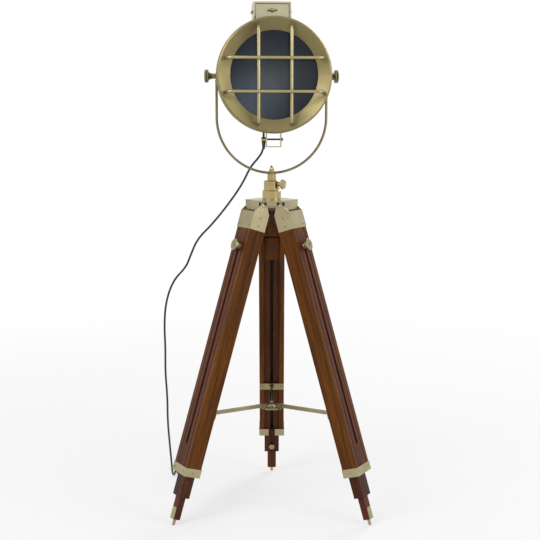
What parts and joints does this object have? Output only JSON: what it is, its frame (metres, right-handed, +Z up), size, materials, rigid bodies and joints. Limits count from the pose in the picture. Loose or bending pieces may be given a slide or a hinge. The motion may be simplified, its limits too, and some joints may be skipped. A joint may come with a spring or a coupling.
{
  "type": "tripod spotlight floor lamp",
  "caption": "Floor lamp with a drum spotlight in a pan and tilt yoke on a folding telescopic wooden tripod",
  "frame": {"origin": "centre of the footprint on the floor, measured without the cord", "axes": "+Z up, the lamp faces -Y, +X to the viewer's right"},
  "size_m": [0.6138, 0.5722, 1.458],
  "materials": {
    "brass": "antique bronzed brass, satin, darkened in the recesses",
    "wood": "dark reddish-brown stained hardwood, semi-gloss lacquer",
    "steel": "bright turned steel pins",
    "black_steel": "black painted steel",
    "glass": "dark slate-blue tinted glass",
    "reflector": "spun aluminium, satin",
    "ceramic": "glazed white ceramic",
    "bulb_glass": "frosted lamp glass",
    "cord": "black flexible mains cord",
    "plug": "black moulded plug"
  },
  "bodies": {
    "column": {"hub_cap": "brass", "hinge_pins": "steel", "column_collar": "brass", "cord_drop": "cord", "cord_coil": "cord", "plug": "plug"},
    "yoke": {"yoke": "brass", "yoke_spigot": "brass", "finial": "brass"},
    "head": {"barrel": "brass", "back_dome": "brass", "bezel": "brass", "glass": "glass", "grille": "brass", "reflector": "reflector", "lamp_socket": "ceramic", "bulb": "bulb_glass", "top_box": "brass", "box_hood": "brass", "cord_bracket": "brass", "bracket_pin": "black_steel", "cord_clamp": "brass", "cord_lead": "cord"},
    "head_knob_left": {"head_knob_left": "brass"},
    "head_knob_right": {"head_knob_right": "brass"},
    "collar_screw": {"collar_screw": "brass"},
    "spreader_hub": {"spreader_hub": "brass"},
    "leg_back": {"leg_rails_back": "wood", "leg_panel_back": "wood", "leg_bracket_back": "brass", "leg_band_back": "brass", "spreader_strap_back": "brass"},
    "middle_leg_back": {"middle_leg_back": "wood"},
    "foot_back": {"foot_leg_back": "wood", "foot_spike_back": "brass"},
    "clamp_knob_back": {"clamp_knob_back": "brass"},
    "foot_knob_back": {"foot_knob_back": "brass"},
    "spreader_arm_back": {"spreader_arm_back": "brass"},
    "leg_left": {"leg_rails_left": "wood", "leg_panel_left": "wood", "leg_bracket_left": "brass", "leg_band_left": "brass", "spreader_strap_left": "brass"},
    "middle_leg_left": {"middle_leg_left": "wood"},
    "foot_left": {"foot_leg_left": "wood", "foot_spike_left": "brass"},
    "clamp_knob_left": {"clamp_knob_left": "brass"},
    "foot_knob_left": {"foot_knob_left": "brass"},
    "spreader_arm_left": {"spreader_arm_left": "brass"},
    "leg_right": {"leg_rails_right": "wood", "leg_panel_right": "wood", "leg_bracket_right": "brass", "leg_band_right": "brass", "spreader_strap_right": "brass"},
    "middle_leg_right": {"middle_leg_right": "wood"},
    "foot_right": {"foot_leg_right": "wood", "foot_spike_right": "brass"},
    "clamp_knob_right": {"clamp_knob_right": "brass"},
    "foot_knob_right": {"foot_knob_right": "brass"},
    "spreader_arm_right": {"spreader_arm_right": "brass"}
  },
  "joints": [
    {"name": "yoke_pan", "type": "hinge", "parent": "column", "child": "yoke", "pos_m": [0, -0.06979, 0.963], "axis": [0, 0, 1], "range_deg": [-90, 90], "deforming": ["cord_drop"]},
    {"name": "head_tilt", "type": "hinge", "parent": "yoke", "child": "head", "pos_m": [0, -0.06979, 1.255], "axis": [0.9962, 0.0872, 0], "range_deg": [-45, 45], "deforming": ["cord_drop"]},
    {"name": "head_knob_left_turn", "type": "hinge", "parent": "head", "child": "head_knob_left", "pos_m": [-0.1833, -0.08582, 1.255], "axis": [-0.9962, -0.0872, 0], "range_deg": [0, 360]},
    {"name": "head_knob_right_turn", "type": "hinge", "parent": "head", "child": "head_knob_right", "pos_m": [0.1833, -0.05375, 1.255], "axis": [0.9962, 0.0872, 0], "range_deg": [0, 360]},
    {"name": "collar_screw_turn", "type": "hinge", "parent": "column", "child": "collar_screw", "pos_m": [0.03277, -0.09273, 0.953], "axis": [0.8192, -0.5736, 0], "range_deg": [0, 360]},
    {"name": "spreader_hub_slide", "type": "slide", "parent": "column", "child": "spreader_hub", "axis": [0, 0, 1], "range_m": [0, 0.1484]},
    {"name": "leg_fold_back", "type": "hinge", "parent": "column", "child": "leg_back", "pos_m": [0, -0.02279, 0.894], "axis": [-1, 0, 0], "range_deg": [0, 10]},
    {"name": "middle_leg_back_slide", "type": "slide", "parent": "leg_back", "child": "middle_leg_back", "axis": [0, 0.2965, -0.955], "range_m": [0, 0.56]},
    {"name": "foot_back_slide", "type": "slide", "parent": "middle_leg_back", "child": "foot_back", "axis": [0, 0.2965, -0.955], "range_m": [-0.03, 0]},
    {"name": "clamp_knob_back_turn", "type": "hinge", "parent": "middle_leg_back", "child": "clamp_knob_back", "pos_m": [0, 0.04866, 0.7853], "axis": [0, 0.955, 0.2965], "range_deg": [0, 360]},
    {"name": "foot_knob_back_turn", "type": "hinge", "parent": "foot_back", "child": "foot_knob_back", "pos_m": [0, 0.20388, 0.0932], "axis": [0, -0.955, -0.2965], "range_deg": [0, 360]},
    {"name": "spreader_arm_back_swing", "type": "hinge", "parent": "leg_back", "child": "spreader_arm_back", "pos_m": [0, 0.12385, 0.30709], "axis": [-1, 0, 0], "range_deg": [0, 70]},
    {"name": "leg_fold_left", "type": "hinge", "parent": "column", "child": "leg_left", "pos_m": [-0.0407, -0.09329, 0.894], "axis": [0.5, -0.866, 0], "range_deg": [0, 10]},
    {"name": "middle_leg_left_slide", "type": "slide", "parent": "leg_left", "child": "middle_leg_left", "axis": [-0.2568, -0.1483, -0.955], "range_m": [0, 0.56]},
    {"name": "foot_left_slide", "type": "slide", "parent": "middle_leg_left", "child": "foot_left", "axis": [-0.2568, -0.1483, -0.955], "range_m": [-0.03, 0]},
    {"name": "clamp_knob_left_turn", "type": "hinge", "parent": "middle_leg_left", "child": "clamp_knob_left", "pos_m": [-0.10258, -0.12901, 0.7853], "axis": [-0.8271, -0.4775, 0.2965], "range_deg": [0, 360]},
    {"name": "foot_knob_left_turn", "type": "hinge", "parent": "foot_left", "child": "foot_knob_left", "pos_m": [-0.237, -0.20662, 0.0932], "axis": [0.8271, 0.4775, -0.2965], "range_deg": [0, 360]},
    {"name": "spreader_arm_left_swing", "type": "hinge", "parent": "leg_left", "child": "spreader_arm_left", "pos_m": [-0.1677, -0.16661, 0.30709], "axis": [0.5, -0.866, 0], "range_deg": [0, 70]},
    {"name": "leg_fold_right", "type": "hinge", "parent": "column", "child": "leg_right", "pos_m": [0.0407, -0.09329, 0.894], "axis": [0.5, 0.866, 0], "range_deg": [0, 10]},
    {"name": "middle_leg_right_slide", "type": "slide", "parent": "leg_right", "child": "middle_leg_right", "axis": [0.2568, -0.1483, -0.955], "range_m": [0, 0.56]},
    {"name": "foot_right_slide", "type": "slide", "parent": "middle_leg_right", "child": "foot_right", "axis": [0.2568, -0.1483, -0.955], "range_m": [-0.03, 0]},
    {"name": "clamp_knob_right_turn", "type": "hinge", "parent": "middle_leg_right", "child": "clamp_knob_right", "pos_m": [0.10258, -0.12901, 0.7853], "axis": [0.8271, -0.4775, 0.2965], "range_deg": [0, 360]},
    {"name": "foot_knob_right_turn", "type": "hinge", "parent": "foot_right", "child": "foot_knob_right", "pos_m": [0.237, -0.20662, 0.0932], "axis": [-0.8271, 0.4775, -0.2965], "range_deg": [0, 360]},
    {"name": "spreader_arm_right_swing", "type": "hinge", "parent": "leg_right", "child": "spreader_arm_right", "pos_m": [0.1677, -0.16661, 0.30709], "axis": [0.5, 0.866, 0], "range_deg": [0, 70]}
  ],
  "couplings": [
    {"joint": "spreader_arm_back_swing", "follows": "leg_fold_back", "ratio": 7},
    {"joint": "spreader_arm_left_swing", "follows": "leg_fold_back", "ratio": 7},
    {"joint": "leg_fold_left", "follows": "leg_fold_back", "ratio": 1},
    {"joint": "spreader_arm_right_swing", "follows": "leg_fold_back", "ratio": 7},
    {"joint": "leg_fold_right", "follows": "leg_fold_back", "ratio": 1},
    {"joint": "spreader_hub_slide", "follows": "leg_fold_back", "m_per_rad": 0.85}
  ]
}
